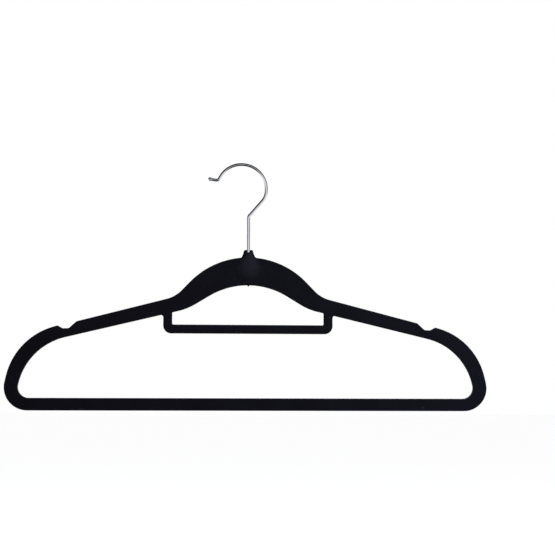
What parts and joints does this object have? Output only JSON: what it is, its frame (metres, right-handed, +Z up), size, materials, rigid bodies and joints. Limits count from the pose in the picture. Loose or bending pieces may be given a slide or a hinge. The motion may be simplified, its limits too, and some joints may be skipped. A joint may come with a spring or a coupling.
{
  "type": "clothes hanger",
  "caption": "Slim flocked clothes hanger with arched neck, strap notches, tie bar, straight trouser bar and a chromed wire hook that swivels.",
  "frame": {"origin": "where the hook rests on a rail, under the crown of its bowl", "axes": "+Z up, +X along the hanger's width with the hook's mouth towards -X, front towards -Y"},
  "size_m": [0.4496, 0.0086, 0.2313],
  "materials": {
    "black_flock": "black nylon flock on moulded ABS",
    "chrome": "bright chrome-plated steel wire",
    "zinc_steel": "bright zinc-plated steel"
  },
  "bodies": {
    "hook": {"swivel_hook": "chrome", "retaining_washer": "zinc_steel"},
    "hanger": {"hanger_body": "black_flock", "neck_sleeve": "zinc_steel"}
  },
  "joints": [
    {"name": "hook_swivel", "type": "hinge", "parent": "hook", "child": "hanger", "pos_m": [0.0065, 0, -0.0799], "axis": [0, 0, 1], "continuous": true}
  ]
}
